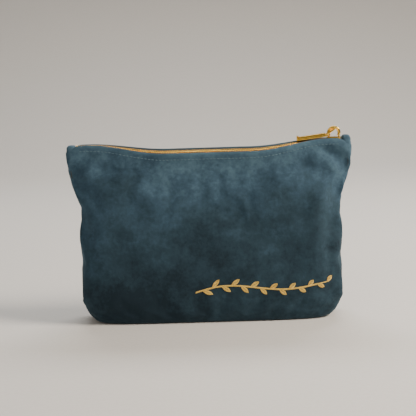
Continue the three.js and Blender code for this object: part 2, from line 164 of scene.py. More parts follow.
# Folds of the front wall, in millimetres: from (x, z) to (x, z), half width, depth at each end.
# A depth below zero is a ridge.
FOLDS = [
    ((98, 140), (112, 132), 5.0, 4.6, 5.4),
    ((117, 128), (84, 92), 5.5, -2.6, -1.6),
    ((113, 122), (104, 106), 5.5, 7.0, 5.4),
    ((104, 106), (96, 60), 5.0, 4.4, 2.2),
    ((92, 100), (84, 40), 9.0, -1.2, -0.6),
    ((99, 58), (100, 26), 5.0, 2.4, 2.2),
    ((104, 14), (82, 33), 5.5, 3.0, 0.6),
    ((94, 8), (52, 17), 5.5, 1.8, 0.5),
    ((-98, 140), (-112, 131), 5.0, 2.6, 4.4),
    ((-115, 124), (-95, 98), 5.0, 4.2, 2.2),
    ((-104, 110), (-92, 84), 5.0, -1.4, -0.8),
    ((-108, 96), (-99, 44), 5.5, 2.4, 1.6),
    ((-104, 14), (-82, 31), 5.5, 3.0, 0.6),
    ((-92, 8), (-50, 15), 6.0, 1.6, 0.4),
    ((-88, 130), (-20, 112), 8.0, 1.6, 0.5),
    ((12, 112), (78, 131), 8.0, 0.5, 1.8),
    ((-62, 96), (-12, 62), 15.0, 1.5, 0.9),
    ((20, 92), (62, 58), 14.0, 1.2, 1.6),
    ((-78, 70), (-58, 28), 12.0, 1.2, 0.8),
]


def half_width(z):
    """Half the pouch's width at a height: boxed corners at the foot, a waist, a flare at the top."""
    rise = min(z / CORNER_HEIGHT, 1)
    corner = 0.5 * rise + 0.5 * math.sin(math.pi / 2 * rise)
    flare = smooth(z, EDGE_Z - FLARE_HEIGHT, EDGE_Z)
    waist = WAIST * math.exp(-(((z - WAIST_Z) / WAIST_REACH) ** 2))
    return (WIDTH - BOXED_CORNERS * (1 - corner) + TOP_FLARE * flare) / 2 - waist


def half_depth(z):
    """Half its depth at a height, tapering to the mouth, with the belly of its filling."""
    t = min(z / EDGE_Z, 1)
    taper = BASE_DEPTH + (MOUTH_DEPTH - BASE_DEPTH) * t**TAPER_CURVE
    return taper / 2 + BELLY * math.sin(math.pi * t**BELLY_CURVE)


def squareness(z):
    """The superellipse's exponent at a height, from how far its corners are rounded."""
    flare = smooth(z, EDGE_Z - FLARE_HEIGHT, EDGE_Z)
    around = SIDE_ROUND + (TOP_ROUND - SIDE_ROUND) * flare
    return -math.log(2) / math.log(1 - around / half_width(z))


def plan_at(s, n):
    """Shares of the half width and depth, s from -1 at the left seam to 1 at the right one."""
    diagonal = 2 ** (-1 / n)
    along = abs(s)
    if along <= FACE_SHARE:
        x = diagonal * along / FACE_SHARE
        return math.copysign(x, s), (1 - x**n) ** (1 / n)
    y = diagonal * (1 - along) / (1 - FACE_SHARE)
    return math.copysign((1 - y**n) ** (1 / n), s), y


def fold_depth(x, z, side):
    """How deep the folds are at a point of a wall, the back wall having the same ones mirrored."""
    here = Vector((x if side < 0 else -x, z)) / MM
    depth = 0.0
    for start, end, half, deep_start, deep_end in FOLDS:
        a, b = Vector(start), Vector(end)
        t = min(max((here - a).dot(b - a) / (b - a).length_squared, 0), 1)
        away = (here - a.lerp(b, t)).length / half
        depth += (deep_start + (deep_end - deep_start) * t) * math.exp(-away * away)
    return depth * MM


def foot_tuck(z):
    """How far the wall turns in under itself where it meets the base."""
    rise = min(z / FOOT_ROUND, 1)
    return FOOT_ROUND * (1 - math.sqrt(1 - (1 - rise) ** 2))


def wall_point(s, height, side):
    """A point of the outer face of the front (side -1) or back (side 1) wall, or of its top rim."""
    z = min(height, EDGE_Z)
    x, y = plan_at(s, squareness(z))
    tuck = foot_tuck(z)
    beside_seam = 1 - smooth(1 - abs(s), 0, SEAM_SHARE)
    seam = SEAM_DIP * smooth(z, *SEAM_STARTS) * beside_seam * (1 - smooth(z, *SEAM_FADES))
    point = Vector(((half_width(z) - seam - tuck) * x, side * (half_depth(z) - tuck) * y, z))
    if height > EDGE_Z:
        turn = math.pi / 2 * (height - EDGE_Z) / RIM_LENGTH
        inner = min(RIM_INNER, abs(point.y))
        point.y = side * (inner + (abs(point.y) - inner) * math.cos(turn))
        at_end = smooth(abs(point.x), ZIP_END - 3 * MM, TOP_HALF)
        point.z += RIM_RISE * math.sin(turn) * (1 - RIM_FLATTER * at_end)
    corner = smooth(abs(point.x), TOP_HALF - CORNER_REACH, TOP_HALF) * smooth(z, 0.9 * EDGE_Z, EDGE_Z)
    point.z -= CORNER_DROP * corner
    return settle(point)


for z in (0, WAIST_Z, EDGE_Z):
    print("half width at height", round(z / MM), "is", round(half_width(z) / MM, 1), "mm")

# %% [markdown]
# ## Helpers for making pieces
# A finished piece is one mesh at the origin. Repeated small things, such as teeth and stitches, are
# copies of one small template, each laid in place by a function that says where its points go.

# %% Mesh helpers


def finish_piece(bm, name, body, material, replaced):
    """Makes the bmesh an object that rides on its body, if it has one, and stands for its CAD nodes."""
    mesh = bpy.data.meshes.new(name)
    bm.to_mesh(mesh)
    bm.free()
    piece = bpy.data.objects.new(name, mesh)
    bpy.context.collection.objects.link(piece)
    mesh.materials.append(material)
    mesh.shade_smooth()
    if body:
        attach(piece, body)
    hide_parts(*replaced)
    print("made", name, "with", len(mesh.polygons), "faces")
    return piece


def lay(bm, template, place):
    """Adds a copy of the template, with each of its points moved to where place puts it."""
    before = len(bm.verts)
    bm.from_mesh(template)
    bm.verts.ensure_lookup_table()
    for vert in bm.verts[before:]:
        vert.co = place(vert.co)


def thicken(bm, thickness):
    """Gives an open sheet its thickness, on the side its normals point away from."""
    bm.normal_update()
    outer = bm.verts[:]
    rim = [edge for edge in bm.edges if edge.is_boundary]
    copy = bmesh.ops.duplicate(bm, geom=bm.verts[:] + bm.edges[:] + bm.faces[:])
    inner = copy["vert_map"]
    for vert in outer:
        inner[vert].co = vert.co - vert.normal * thickness
    inner_faces = [item for item in copy["geom"] if isinstance(item, bmesh.types.BMFace)]
    bmesh.ops.reverse_faces(bm, faces=inner_faces)
    for edge in rim:
        loop = edge.link_loops[0]
        a, b = loop.vert, loop.link_loop_next.vert
        bm.faces.new((b, a, inner[a], inner[b]))


def keep_mesh(bm, name):
    """Turns the bmesh into mesh data, to copy or to part later."""
    mesh = bpy.data.meshes.new(name)
    bm.to_mesh(mesh)
    bm.free()
    return mesh


# %% [markdown]
# ## Helpers for finishes
# A colour given here is an sRGB value, and the renderer wants light, so one function converts it.
# Pattern scales are worked out from the real size of the grain: a texture's scale is one over it.

# %% Material helpers


def linear(hex_colour):
    """The light of an sRGB colour, as red, green, blue and alpha."""
    channels = [int(hex_colour[i : i + 2], 16) / 255 for i in (1, 3, 5)]
    return [c / 12.92 if c <= 0.04045 else ((c + 0.055) / 1.055) ** 2.4 for c in channels] + [1]


def per(size_mm):
    """The texture scale of a pattern whose grain is this many millimetres."""
    return 1 / (size_mm * MM)


def new_material(name, **shader_values):
    """A material, and its shader with these values on its sockets."""
    material = bpy.data.materials.new(name)
    material.use_nodes = True
    shader = material.node_tree.nodes["Principled BSDF"]
    for socket, value in shader_values.items():
        shader.inputs[socket.replace("_", " ")].default_value = value
    return material, shader


def add_node(material, kind, settings=None, stops=(), **inputs):
    """Adds a node with its settings and links.

    An input is a value, or another node's output socket to link from. Inputs that share one name go
    by their place instead, as i0 and i1. stops are a colour ramp's (position, hex colour) pairs.
    """
    tree = material.node_tree
    node = tree.nodes.new(kind)
    for key, value in (settings or {}).items():
        setattr(node, key, value)
    for key, value in inputs.items():
        name = key.replace("_", " ")
        socket = node.inputs[int(name[1:])] if name[0] == "i" and name[1:].isdigit() else node.inputs[name]
        if isinstance(value, bpy.types.NodeSocket):
            tree.links.new(value, socket)
        else:
            socket.default_value = value
    if stops:
        elements = node.color_ramp.elements
        while len(elements) < len(stops):
            elements.new(0.5)
        for element, (position, colour) in zip(elements, stops):
            element.position = position
            element.color = linear(colour)
    return node


def link(material, output, socket):
    material.node_tree.links.new(output, socket)


print("a grain of 2 mm is a texture scale of", per(2))

# %% [markdown]
# ## Cotton velvet
# Velvet is a woven ground with a short upright pile. Light slides along the tips of the pile, so it
# glows at grazing angles, and strokes of a hand leave cloudy lighter and darker patches where the
# pile leans another way. The clouds are noise of four sizes, the glow is the shader's sheen, and the
# pile itself is a bump of about half a millimetre, coarser than real so that it still shows.

# %% Velvet


def petrol_velvet():
    material, shader = new_material(
        "petrol_cotton_velvet",
        Roughness=0.86,
        Specular_IOR_Level=0.22,
        Sheen_Weight=0.3,
        Sheen_Roughness=0.5,
        Sheen_Tint=linear("#7f9eae"),
    )
    place = add_node(material, "ShaderNodeTexCoord").outputs["Object"]
    tone = add_node(material, "ShaderNodeTexNoise", Vector=place, Scale=per(58), Detail=2.0).outputs["Fac"]
    for size_mm, share in ((22, 0.4), (8, 0.26), (2.6, 0.17)):
        finer = add_node(
            material, "ShaderNodeTexNoise", Vector=place, Scale=per(size_mm), Detail=3.0, Distortion=0.35
        ).outputs["Fac"]
        tone = add_node(
            material, "ShaderNodeMix", {"data_type": "FLOAT"}, Factor=share, A=tone, B=finer
        ).outputs[0]
    # Painted shade and light: rise makes the velvet darker towards the bottom and a little lighter towards
    # the top, and lean is the clouds with that painted shade added.
    height = add_node(material, "ShaderNodeSeparateXYZ", Vector=place).outputs["Z"]
    rise = add_node(
        material, "ShaderNodeMapRange", Value=height, From_Max=150 * MM, To_Min=-0.2, To_Max=0.12
    ).outputs[0]
    lean = add_node(material, "ShaderNodeMath", {"operation": "ADD"}, i0=tone, i1=rise).outputs[0]
    blues = add_node(
        material, "ShaderNodeValToRGB", Fac=lean,
        stops=[(0.3, "#1a2a34"), (0.44, "#293e4a"), (0.56, "#385061"), (0.7, "#506c7c")],
    )
    link(material, blues.outputs["Color"], shader.inputs["Base Color"])
    pile = add_node(material, "ShaderNodeTexNoise", Vector=place, Scale=per(0.55), Detail=2.0).outputs["Fac"]
    nap = add_node(material, "ShaderNodeTexNoise", Vector=place, Scale=per(4.5), Detail=3.0).outputs["Fac"]
    soft = add_node(
        material, "ShaderNodeBump", Strength=0.35, Distance=0.9 * MM, Height=nap
    ).outputs["Normal"]
    fine = add_node(
        material, "ShaderNodeBump", Strength=0.5, Distance=0.18 * MM, Height=pile, Normal=soft
    ).outputs["Normal"]
    link(material, fine, shader.inputs["Normal"])
    return material


# Cotton pile on a woven ground, so it is dull face on, pale at its edges and cloudy where stroked, with
# painted shade that darkens it towards the bottom.
velvet = petrol_velvet()
print("made", velvet.name)

# %% [markdown]
# ## Satin, tape and thread
# The lining is a plain polyester satin, darker than the velvet. The zip's tape is a tight woven
# ribbon with a fine rib. The stitching is polyester thread, and the embroidery rayon, which shines.

# %% Satin, tape and thread
WAVES_PER_UNIT = 3.14    # a wave texture of scale 1 repeats about this often in one unit


def woven(name, dark, light, rib_mm, rib_depth_mm, **values):
    """A cloth of crossing threads: two wave patterns at right angles, and a soft stain of noise."""
    material, shader = new_material(name, **values)
    place = add_node(material, "ShaderNodeTexCoord").outputs["Object"]
    warp = add_node(
        material, "ShaderNodeTexWave", {"bands_direction": "X"}, Vector=place,
        Scale=per(rib_mm) / WAVES_PER_UNIT, Distortion=0.4, Detail_Scale=2.0,
    ).outputs["Fac"]
    weft = add_node(
        material, "ShaderNodeTexWave", {"bands_direction": "Z"}, Vector=place,
        Scale=per(rib_mm) / WAVES_PER_UNIT, Distortion=0.4, Detail_Scale=2.0,
    ).outputs["Fac"]
    threads = add_node(material, "ShaderNodeMath", {"operation": "MULTIPLY"}, i0=warp, i1=weft).outputs[0]
    stain = add_node(material, "ShaderNodeTexNoise", Vector=place, Scale=per(22), Detail=3.0).outputs["Fac"]
    tone = add_node(
        material, "ShaderNodeMix", {"data_type": "FLOAT"}, Factor=0.5, A=threads, B=stain
    ).outputs[0]
    dye = add_node(material, "ShaderNodeValToRGB", Fac=tone, stops=[(0.2, dark), (0.75, light)])
    link(material, dye.outputs["Color"], shader.inputs["Base Color"])
    bump = add_node(material, "ShaderNodeBump", Strength=0.6, Distance=rib_depth_mm * MM, Height=threads)
    link(material, bump.outputs["Normal"], shader.inputs["Normal"])
    return material


def twisted_thread(name, dark, light, **values):
    """A yarn of a few plies: fine slanting streaks, and a little change of tone along the way."""
    material, shader = new_material(name, **values)
    place = add_node(material, "ShaderNodeTexCoord").outputs["Object"]
    plies = add_node(
        material, "ShaderNodeTexWave", {"bands_direction": "DIAGONAL"}, Vector=place,
        Scale=per(0.35) / WAVES_PER_UNIT, Distortion=1.5,
    ).outputs["Fac"]
    tone = add_node(material, "ShaderNodeTexNoise", Vector=place, Scale=per(3), Detail=2.0).outputs["Fac"]
    both = add_node(
        material, "ShaderNodeMix", {"data_type": "FLOAT"}, Factor=0.5, A=plies, B=tone
    ).outputs[0]
    dye = add_node(material, "ShaderNodeValToRGB", Fac=both, stops=[(0.25, dark), (0.75, light)])
    link(material, dye.outputs["Color"], shader.inputs["Base Color"])
    bump = add_node(material, "ShaderNodeBump", Strength=0.5, Distance=0.06 * MM, Height=plies)
    link(material, bump.outputs["Normal"], shader.inputs["Normal"])
    return material


# Filament polyester in a satin weave, so its dark face has a broad soft shine.
satin = woven(
    "dark_polyester_satin", "#1a262c", "#41545d", 0.6, 0.03, Roughness=0.42, Sheen_Weight=0.25,
    Specular_IOR_Level=0.45,
)
# Spun polyester in a tight ribbed weave, so it is flat and dark between the velvet and the metal.
tape_cloth = woven(
    "woven_zip_tape", "#0f2029", "#29424f", 0.8, 0.12, Roughness=0.82, Sheen_Weight=0.15,
)
# Spun polyester thread, a shade paler than the velvet, so that a stitch reads as a fine line.
petrol_thread = twisted_thread("petrol_sewing_thread", "#38535f", "#64828f", Roughness=0.6)
# Filament rayon, which is smooth and bright, so each thread of the embroidery has its own glint.
gold_thread = twisted_thread(
    "gold_rayon_thread", "#cf9f38", "#ffe07c", Roughness=0.42, Specular_IOR_Level=0.5,
    Anisotropic=0.5,
)
print("made", satin.name, tape_cloth.name, petrol_thread.name, gold_thread.name)

# %% [markdown]
# ## Gold-plated brass
# The zip's metal is brass with a thin bright gold plating, tumbled smooth. It is almost a mirror,
# softened by faint scratches, and its hollows stay a little duller than its rubbed edges.

# %% Plated metal


def plated_brass(name, tone, roughness, scratch_mm):
    material, shader = new_material(name, Metallic=1.0)
    place = add_node(material, "ShaderNodeTexCoord").outputs["Object"]
    haze = add_node(material, "ShaderNodeTexNoise", Vector=place, Scale=per(2.6), Detail=4.0).outputs["Fac"]
    plating = add_node(material, "ShaderNodeValToRGB", Fac=haze, stops=[(0.3, tone[0]), (0.7, tone[1])])
    link(material, plating.outputs["Color"], shader.inputs["Base Color"])
    rough = add_node(
        material, "ShaderNodeMapRange", Value=haze, From_Min=0.3, From_Max=0.7,
        To_Min=roughness * 0.8, To_Max=roughness * 1.3,
    )
    link(material, rough.outputs[0], shader.inputs["Roughness"])
    fine = add_node(material, "ShaderNodeTexNoise", Vector=place, Scale=per(scratch_mm), Detail=3.0)
    bump = add_node(
        material, "ShaderNodeBump", Strength=0.12, Distance=0.05 * MM, Height=fine.outputs["Fac"]
    )
    link(material, bump.outputs["Normal"], shader.inputs["Normal"])
    return material


# Cast zinc with a tumbled gold plating, so it mirrors the lights in warm streaks.
polished_gold = plated_brass("gold_plated_zinc", ("#f0b636", "#ffdb72"), 0.12, 0.7)
# Stamped brass teeth with the same plating, a little duller, as their faces weren't tumbled.
tooth_brass = plated_brass("gold_plated_brass_teeth", ("#dba12f", "#fad266"), 0.2, 0.3)
print("metals:", polished_gold.name, tooth_brass.name)

# %% [markdown]
# ## One skin for the whole outside
# The two walls meet in the side seams, so they are shaped together as one sleeve, and only then cut
# into panels. A grid is wrapped into the sleeve: its columns run once round the pouch and its rows
# from the base to the mouth. A short cloth simulation then lets the velvet find its own small
# creases: the seams are held, the cloth is given a little more length than its span, and air
# pressure stands in for the filling.

# %% Wrap the sleeve
COLUMNS = 176   # once round the pouch, a multiple of four
ROWS = 62
CROWDING = 0.6  # the share of the rows' spacing that crowds towards both ends
FRONT, BACK = 0, 1


def row_height(share):
    """Rows crowd together a little at the base and at the mouth, and end at the rim."""
    crowded = (1 - math.cos(math.pi * share)) / 2
    return (EDGE_Z + RIM_LENGTH) * ((1 - CROWDING) * share + CROWDING * crowded)


def wrapped_sleeve():
    """The grid wrapped into both walls, with its flat place kept as a map for the steps to come."""
    bm = bmesh.new()
    cut_map = bm.loops.layers.uv.new("cut")
    bmesh.ops.create_grid(bm, x_segments=COLUMNS, y_segments=ROWS, size=1)
    for face in bm.faces:
        face.material_index = FRONT if face.calc_center_median().x < 0 else BACK
        for loop in face.loops:
            loop[cut_map].uv = (loop.vert.co.x + 1, (loop.vert.co.y + 1) / 2)
    for vert in bm.verts:
        around, height = vert.co.x + 1, row_height((vert.co.y + 1) / 2)
        if around <= 1:
            vert.co = wall_point(2 * around - 1, height, -1)
        else:
            vert.co = wall_point(3 - 2 * around, height, 1)
    bmesh.ops.remove_doubles(bm, verts=bm.verts, dist=0.02 * MM)
    bmesh.ops.recalc_face_normals(bm, faces=bm.faces)
    return keep_mesh(bm, "sleeve")


sleeve = bpy.data.objects.new("sleeve", wrapped_sleeve())
bpy.context.collection.objects.link(sleeve)
outward = sum(1 for f in sleeve.data.polygons if f.normal.y * (-1 if f.material_index == FRONT else 1) > 0)
if outward < len(sleeve.data.polygons) / 2:
    sleeve.data.flip_normals()
print("sleeve:", len(sleeve.data.vertices), "points")

# %% Let the velvet settle
LONGEST_MOVE = 3.2 * MM
SPARE_CLOTH = 0.022     # extra length in the cloth, as a share
SIDE_SEAM_HOLD = 0.7
FRAMES = 22


def held_weights(mesh):
    """1 where a seam holds the cloth: along the mouth, the foot and, less firmly, the side seams."""
    heights = [0.0] * len(mesh.vertices)
    for loop, corner in zip(mesh.loops, mesh.uv_layers["cut"].data):
        heights[loop.vertex_index] = row_height(corner.uv.y)
    weights = []
    for vert, height in zip(mesh.vertices, heights):
        mouth = smooth(height, EDGE_Z - 14 * MM, EDGE_Z - 8 * MM)
        foot = 1 - smooth(height, 1 * MM, 6 * MM)
        in_seam = abs(vert.co.x) > 90 * MM and abs(vert.co.y) < 5 * MM
        weights.append(max(mouth, foot, SIDE_SEAM_HOLD if in_seam else 0))
    return weights


def simulate_velvet(piece):
    """Runs the cloth and moves the mesh to where it came to rest, within a longest move."""
    mesh = piece.data
    rest = np.array([v.co for v in mesh.vertices])
    group = piece.vertex_groups.new(name="held")
    for index, weight in enumerate(held_weights(mesh)):
        group.add([index], weight, "REPLACE")
    modifier = piece.modifiers.new("cloth", "CLOTH")
    cloth = modifier.settings
    cloth.quality = 6
    cloth.mass = 0.15
    cloth.tension_stiffness = 12
    cloth.compression_stiffness = 12
    cloth.shear_stiffness = 5
    cloth.bending_stiffness = 0.35
    cloth.vertex_group_mass = "held"
    cloth.shrink_min = -SPARE_CLOTH
    cloth.use_pressure = True
    cloth.uniform_pressure_force = 0.6
    cloth.effector_weights.gravity = 0
    modifier.collision_settings.use_collision = False
    modifier.point_cache.frame_end = FRAMES
    for step in range(1, FRAMES + 1):
        bpy.context.scene.frame_set(step)
    view = piece.evaluated_get(bpy.context.evaluated_depsgraph_get())
    moved = np.array([v.co for v in view.data.vertices]) - rest
    length = np.linalg.norm(moved, axis=1, keepdims=True)
    moved *= LONGEST_MOVE * np.tanh(length / LONGEST_MOVE) / np.maximum(length, 1e-9)
    piece.modifiers.remove(modifier)
    bpy.context.scene.frame_set(1)
    mesh.vertices.foreach_set("co", (rest + moved).astype(np.float32).ravel())
    mesh.update()
    print("velvet moved by up to", round(float(length.max()) / MM, 2), "mm, kept within", LONGEST_MOVE / MM)


simulate_velvet(sleeve)

# %% Press the folds into the settled velvet
DEEPEST_SHARE = 0.5    # a fold stops half way to the middle, where the lining is


def press_folds(mesh):
    """Folds come after the simulation, which would blow the deep ones out again."""
    places = [(0.0, 0.0)] * len(mesh.vertices)
    for loop, corner in zip(mesh.loops, mesh.uv_layers["cut"].data):
        places[loop.vertex_index] = tuple(corner.uv)
    pushes = []
    for vert, (around, share) in zip(mesh.vertices, places):
        side = -1 if around <= 1 else 1
        s = 2 * around - 1 if around <= 1 else 3 - 2 * around
        z = min(row_height(share), EDGE_Z)
        free = smooth(z, 3 * MM, 12 * MM) * (1 - smooth(z, EDGE_Z - 5 * MM, EDGE_Z))
        wall_depth = half_depth(z) * plan_at(s, squareness(z))[1]
        pushes.append(side * min(fold_depth(vert.co.x, z, side) * free, DEEPEST_SHARE * wall_depth))
    for vert, push in zip(mesh.vertices, pushes):
        vert.co.y -= push
    print("deepest fold", round(max(abs(push) for push in pushes) / MM, 2), "mm")


press_folds(sleeve.data)

# %% [markdown]
# ## Cutting the sleeve into panels
# The mouth opens like an eye: it stays shut at the side seams and opens most in the middle. Each wall
# is finished as one piece and then parted at its middle. The two halves share their edge points and
# the whole wall's shading, so the parting doesn't show. Lining, tape, teeth and stitches are parted in
# the same way.

# %% Part a wall's pieces at the middle
HALVES = (("left", -1), ("right", 1))
WALLS = (("front", -1, FRONT), ("back", 1, BACK))    # a wall's name, its side and its face index
NEAR_MIDDLE = 0.4 * MM    # points this near the middle are moved onto it, so the cut leaves no slivers


def whole_wall(levels, wall, inset, thickness, highest=1.0, turned_in=0.0):
    """One wall of the sleeve as cloth: its outer face inset from the skin, its thickness inside.

    The edges of a sewn panel turn in at the seams, which leaves a fine groove between two panels.
    """
    subdivision = sleeve.modifiers.new("finer", "SUBSURF")
    subdivision.levels = subdivision.render_levels = levels
    view = sleeve.evaluated_get(bpy.context.evaluated_depsgraph_get())
    bm = bmesh.new()
    bm.from_mesh(view.to_mesh())
    sleeve.modifiers.remove(subdivision)
    bm.normal_update()
    for vert in bm.verts:
        vert.co -= vert.normal * inset
    cut_map = bm.loops.layers.uv["cut"]
    unwanted = []
    for face in bm.faces:
        height = sum(loop[cut_map].uv.y for loop in face.loops) / len(face.loops)
        if face.material_index != wall or height > highest:
            unwanted.append(face)
        face.material_index = 0
    bmesh.ops.delete(bm, geom=unwanted, context="FACES")
    for vert in {vert for edge in bm.edges if edge.is_boundary for vert in edge.verts}:
        vert.co -= vert.normal * turned_in
    for vert in bm.verts:
        if abs(vert.co.x) < NEAR_MIDDLE:
            vert.co.x = 0
    bmesh.ops.bisect_plane(
        bm, geom=bm.verts[:] + bm.edges[:] + bm.faces[:], plane_co=(0, 0, 0), plane_no=(1, 0, 0), dist=1e-6
    )
    thicken(bm, thickness)
    return bm


def loose_parts_on(bm, sign):
    """The faces of the loose parts, such as teeth or threads, whose middle is on that side."""
    faces, seen = set(), set()
    for first in bm.verts:
        if first in seen:
            continue
        part, waiting = {first}, [first]
        while waiting:
            for edge in waiting.pop().link_edges:
                fresh = [vert for vert in edge.verts if vert not in part]
                part.update(fresh)
                waiting.extend(fresh)
        seen |= part
        if sum(vert.co.x for vert in part) * sign > 0:
            faces.update(face for vert in part for face in vert.link_faces)
    return faces


def part_in_halves(bm, name, material, replaced, flat=None):
    """Parts a finished wall piece at x = 0 into a left and a right half.

    A sheet, which has a flat size, is cut there and each cut edge is closed. Other pieces are many
    loose parts, and each part goes whole to the half that its middle is on.
    """
    bm.normal_update()
    whole_normal = bm.verts.layers.float_vector.new("whole_normal")
    for vert in bm.verts:
        vert[whole_normal] = vert.normal
    whole = keep_mesh(bm, f"{name}_whole")
    for half, sign in HALVES:
        bm = bmesh.new()
        bm.from_mesh(whole)
        if flat:
            other = [face for face in bm.faces if face.calc_center_median().x * sign < 0]
        else:
            other = list(loose_parts_on(bm, -sign))
        bmesh.ops.delete(bm, geom=other, context="FACES")
        if flat:
            cut_edges = [edge for edge in bm.edges if edge.is_boundary]
            for vert in {vert for edge in cut_edges for vert in edge.verts}:
                vert.co.x = 0
            cut = bmesh.ops.holes_fill(bm, edges=cut_edges)
            bmesh.ops.triangulate(bm, faces=cut["faces"], ngon_method="EAR_CLIP")
        normals = [vert[bm.verts.layers.float_vector["whole_normal"]].copy() for vert in bm.verts]
        piece = finish_piece(bm, f"{name}_{half}", None, material, replaced)
        piece.data.normals_split_custom_set_from_vertices(normals)
        piece.data.attributes.remove(piece.data.attributes["whole_normal"])
        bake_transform(piece)
    bpy.data.meshes.remove(whole)


# %% Velvet walls and their lining
PANEL_CUT = (0.131, 0.152)    # half a wall laid flat: half the way round, by the height
LINING_CUT = (0.129, 0.148)
LINING_INSET = VELVET + 0.9 * MM
LINING_TOP = 0.965            # the lining ends at this share of the rows, below the teeth
SEAM_GROOVE = 0.8 * MM        # how far a panel's edges turn in at the seams

for wall, side, index in WALLS:
    part_in_halves(
        whole_wall(1, index, 0, VELVET, turned_in=SEAM_GROOVE), f"{wall}_velvet", velvet,
        [f"{wall}_panel"], PANEL_CUT,
    )
    part_in_halves(
        whole_wall(0, index, LINING_INSET, LINING, LINING_TOP), f"{wall}_satin", satin,
        [f"{wall}_lining"], LINING_CUT,
    )

# %% A tree of the finished skin, to lay stitches on
subdivision = sleeve.modifiers.new("finer", "SUBSURF")
subdivision.levels = subdivision.render_levels = 1
skin = BVHTree.FromObject(sleeve, bpy.context.evaluated_depsgraph_get())
bpy.data.objects.remove(sleeve)
FAR_OUTSIDE = 0.2


def on_skin(x, z, side):
    """The skin's point and outward normal where a line straight through the wall meets it."""
    start = Vector((x, side * FAR_OUTSIDE, z))
    point, normal, _, _ = skin.ray_cast(start, Vector((0, -side, 0)))
    return point, normal if normal.y * side > 0 else -normal


print("skin at the middle of the front:", [round(v / MM, 1) for v in on_skin(0, 60 * MM, -1)[0]])

# %% [markdown]
# ## The base
# The base is a velvet oblong with rounded ends, sewn to the walls' feet, with its own piece of
# lining inside. A grid is squeezed into the plan of the pouch at the floor. Its rim stays down in
# the seam, and its middle lifts in slow waves of about a quarter of a millimetre, as soft cloth does.

# %% Velvet and satin base
BASE_WAVE = 0.25 * MM    # the mean height of the sheet's slow waves
BASE_WAVE_MM = 18        # and how far apart they are


def base_sheet(inset, bottom, thickness):
    """An oblong sheet that fills the foot of the walls, its underside at the height of bottom."""
    bm = bmesh.new()
    bmesh.ops.create_grid(bm, x_segments=80, y_segments=24, size=1)
    square = squareness(0)
    wide = half_width(0) - FOOT_ROUND - inset
    deep = half_depth(0) - FOOT_ROUND - inset
    for vert in bm.verts:
        a, b = vert.co.x, vert.co.y
        x = wide * a * (1 - abs(b) ** square / 2) ** (1 / square)
        y = deep * b * (1 - abs(a) ** square / 2) ** (1 / square)
        lift = BASE_WAVE * (1 + noise.noise(Vector((x, y, 0)) * per(BASE_WAVE_MM)))
        vert.co = Vector((x, y, bottom + lift * (1 - max(abs(a), abs(b)) ** 4)))
    bmesh.ops.reverse_faces(bm, faces=bm.faces[:])
    thicken(bm, thickness)
    return bm


base = finish_piece(base_sheet(0, 0, VELVET), "base_velvet", "base", velvet, ["base_panel"])
base = finish_piece(
    base_sheet(0.5 * MM, 2.0 * MM, LINING), "base_satin", "base", satin, ["base_lining"]
)

# %% [markdown]
# ## The zip's tape
# Each half of the zip is a woven tape with teeth clamped along one edge. The tape lies flat beside
# the teeth, bends over a shoulder and goes down between velvet and lining, where both are sewn to
# it. Its edge beside the teeth is thickened by a cord that the teeth grip.

# %% Woven tape
TAPE_INNER = 2.2 * MM
TAPE_DROP = 10 * MM
TAPE_BEHIND = VELVET + 0.4 * MM    # how far behind the velvet's face it goes down
TAPE_CUT = (0.111, 0.014)
SHOULDER = 0.3                     # the share of the tape's width before it bends down
TAPE_COLUMNS = 150
TAPE_ROWS = 14


def face_depth(x, z, side):
    """The wall's half depth at x, before the pouch settles."""
    n = squareness(z)
    flat = half_depth(z) * (1 - min(abs(x) / (half_width(z) + WAIST), 0.999) ** n) ** (1 / n)
    return flat - fold_depth(x, z, side) * (1 - smooth(z, EDGE_Z - 6 * MM, EDGE_Z))


def tape_point(x, share, side):
    """share runs from 0 at the teeth, over the shoulder, to 1 at the tape's foot."""
    shoulder = max(face_depth(x, EDGE_Z, side) - TAPE_BEHIND, RIM_INNER)
    if share < SHOULDER:
        y = TAPE_INNER + (shoulder - TAPE_INNER) * share / SHOULDER
        return settle(Vector((x, side * y, ZIP_Z + 0.1 * MM)))
    t = (share - SHOULDER) / (1 - SHOULDER)
    z = ZIP_Z - 0.3 * MM - TAPE_DROP * t
    y = max(face_depth(x, min(z, EDGE_Z), side) - TAPE_BEHIND, TAPE_INNER)
    return settle(Vector((x, side * (y if z < EDGE_Z else shoulder), z)))


def woven_tape(side):
    """One half of the tape, bent along its shoulder from one end of the zip to the other."""
    bm = bmesh.new()
    bmesh.ops.create_grid(bm, x_segments=TAPE_COLUMNS, y_segments=TAPE_ROWS, size=1)
    for vert in bm.verts:
        vert.co = tape_point(vert.co.x * (ZIP_END - 0.5 * MM), (vert.co.y + 1) / 2, side)
    if side > 0:
        bmesh.ops.reverse_faces(bm, faces=bm.faces[:])
    thicken(bm, TAPE)
    return bm


for wall, side, _ in WALLS:
    part_in_halves(
        woven_tape(side), f"{wall}_tape", tape_cloth, [f"{wall}_zip_tape"],
        TAPE_CUT,
    )

# %% [markdown]
# ## The teeth
# A metal tooth is stamped from brass wire: two legs that clamp the tape's cord, and a head with a
# small nib on top and a pocket below, so that each head sits in its neighbour. Shut, the heads of
# both rows overlap in one line. One tooth is made with care and then copied along the line, so it
# keeps to a few dozen faces.

# %% Two rows of teeth
TOOTH_PITCH = 2.05 * MM
TOOTH_LENGTH = 0.76 * MM
TOOTH_HEIGHT = 2.1 * MM
HEAD_REACH = 0.75 * MM    # how far a head crosses the middle
TOOTH_REACH = 3.1 * MM    # how far its legs go the other way
HEAD_NARROWER = 0.8       # the head's size along the zip, as a share of the legs'
HEAD_LOWER = 0.78         # its height, as a share of the middle's
LEGS_LOWER = 0.82
TOOTH_BEVEL = 0.16 * MM
SHARP = 0.6               # an edge between faces that turn by more than this, in radians


